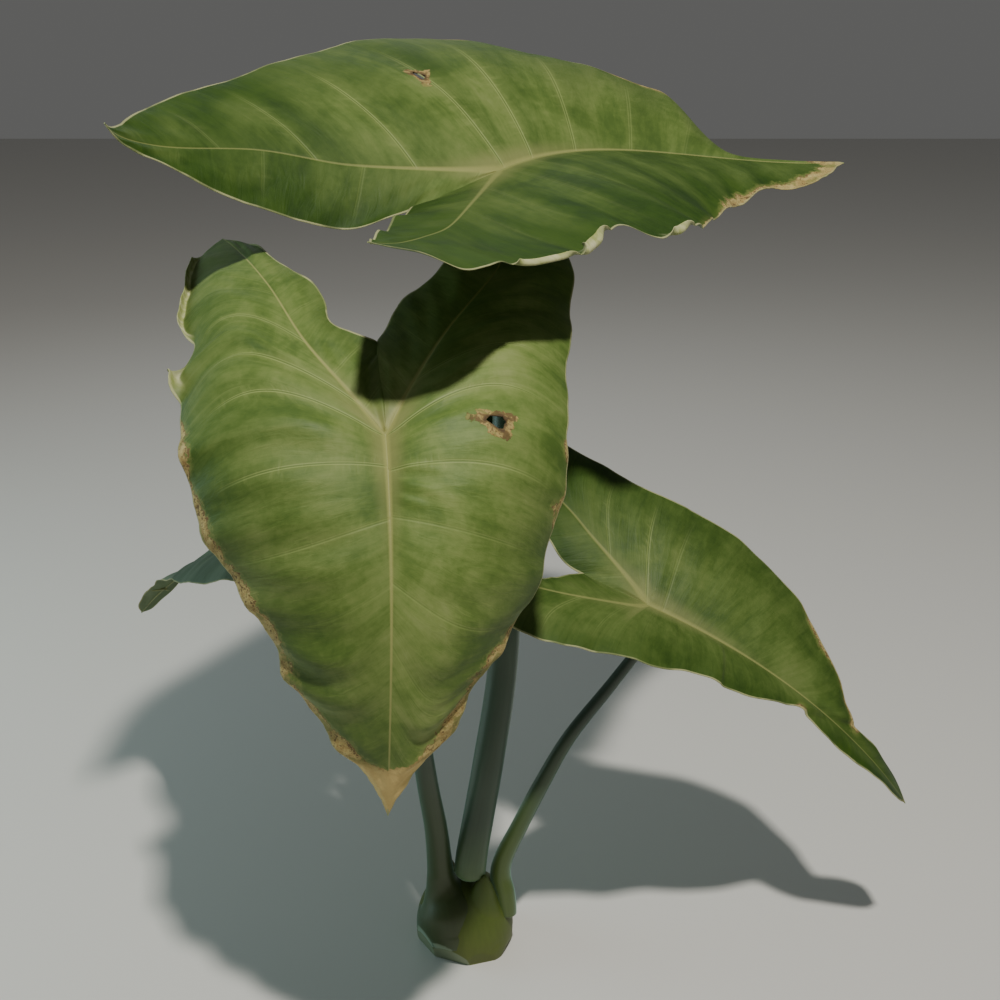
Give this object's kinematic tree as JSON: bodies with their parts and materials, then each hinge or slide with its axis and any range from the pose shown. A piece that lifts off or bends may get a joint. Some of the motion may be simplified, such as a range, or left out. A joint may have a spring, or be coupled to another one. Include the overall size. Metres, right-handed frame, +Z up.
{
  "type": "taro_plant",
  "caption": "Taro plant: a pale green corm cut flat underneath, with long curved stalks and big arrow-shaped leaves with tan edges.",
  "frame": {"origin": "centre of the corm's flat base", "axes": "+Z up, -Y towards the side that the picture is taken from, +X to the picture's right"},
  "size_m": [0.851, 0.6965, 0.9314],
  "materials": {
    "corm": "satin, smooth pale green rind",
    "petiole": "satin, waxy dark green",
    "blade": "satin mid green with yellow-green veins and tan edges"
  },
  "bodies": {
    "root": {"corm": "corm", "petiole_front": "petiole", "petiole_top": "petiole", "petiole_right": "petiole", "petiole_back": "petiole", "blade_front": "blade", "blade_top": "blade", "blade_right": "blade", "blade_back": "blade"}
  },
  "joints": []
}
